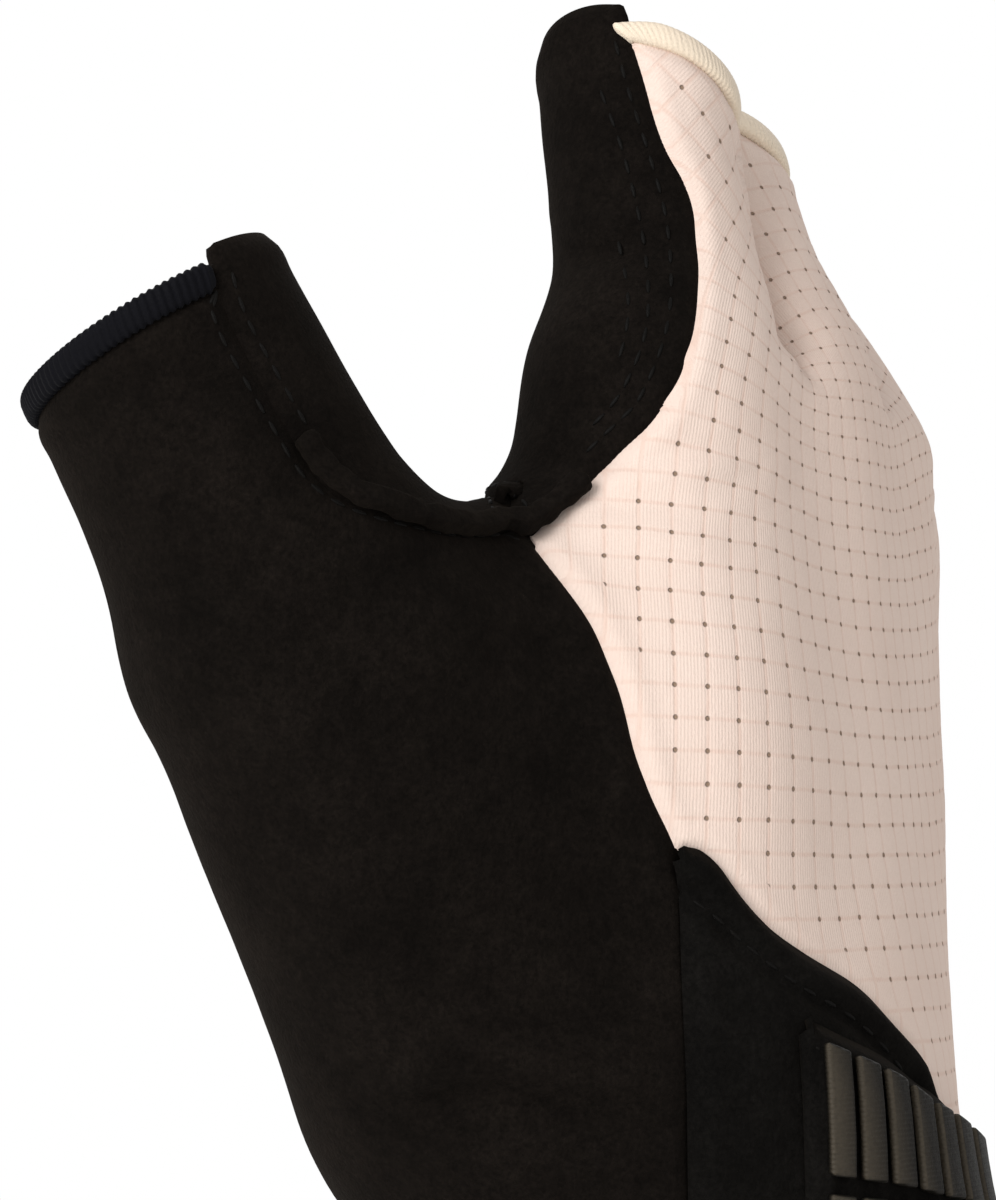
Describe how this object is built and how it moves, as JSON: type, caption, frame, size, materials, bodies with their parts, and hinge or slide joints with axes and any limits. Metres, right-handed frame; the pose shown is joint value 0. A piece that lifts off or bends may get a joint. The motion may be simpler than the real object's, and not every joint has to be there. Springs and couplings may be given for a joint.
{
  "type": "cycling glove",
  "caption": "Half-finger cycling glove for the right hand in its worn shape, with a perforated stretch back, suede palm and thumb, elastic finger edging and a wrist tab with raised grip bars.",
  "frame": {"origin": "middle of the wrist opening, in the plane of the bottom hem", "axes": "+Z from the wrist to the fingertips, +X towards the back of the hand, +Y from the thumb side to the little finger side"},
  "size_m": [0.1015, 0.1058, 0.1362],
  "materials": {
    "stretch": "matt perforated knit",
    "suede": "napped synthetic suede",
    "elastic": "matt elastic edging",
    "ribbing": "ribbed overcast edging",
    "padding": "brushed padded fabric",
    "grip": "satin"
  },
  "bodies": {
    "root": {"back_panel": "stretch", "palm_panel": "suede", "index_panel": "suede", "thumb_panel": "suede", "thumb_gusset": "suede", "web_piping": "suede", "index_binding": "elastic", "middle_binding": "elastic", "ring_binding": "elastic", "little_binding": "elastic", "thumb_hem": "ribbing", "cuff_band": "padding", "closure_tab": "padding", "grip_bar_1_1": "grip", "grip_bar_1_2": "grip", "grip_bar_1_3": "grip", "grip_bar_1_4": "grip", "grip_bar_1_5": "grip", "grip_bar_1_6": "grip", "grip_bar_1_7": "grip", "grip_bar_2_1": "grip", "grip_bar_2_2": "grip", "grip_bar_2_3": "grip", "grip_bar_2_4": "grip", "grip_bar_2_5": "grip", "grip_bar_2_6": "grip", "grip_bar_2_7": "grip"}
  },
  "joints": []
}
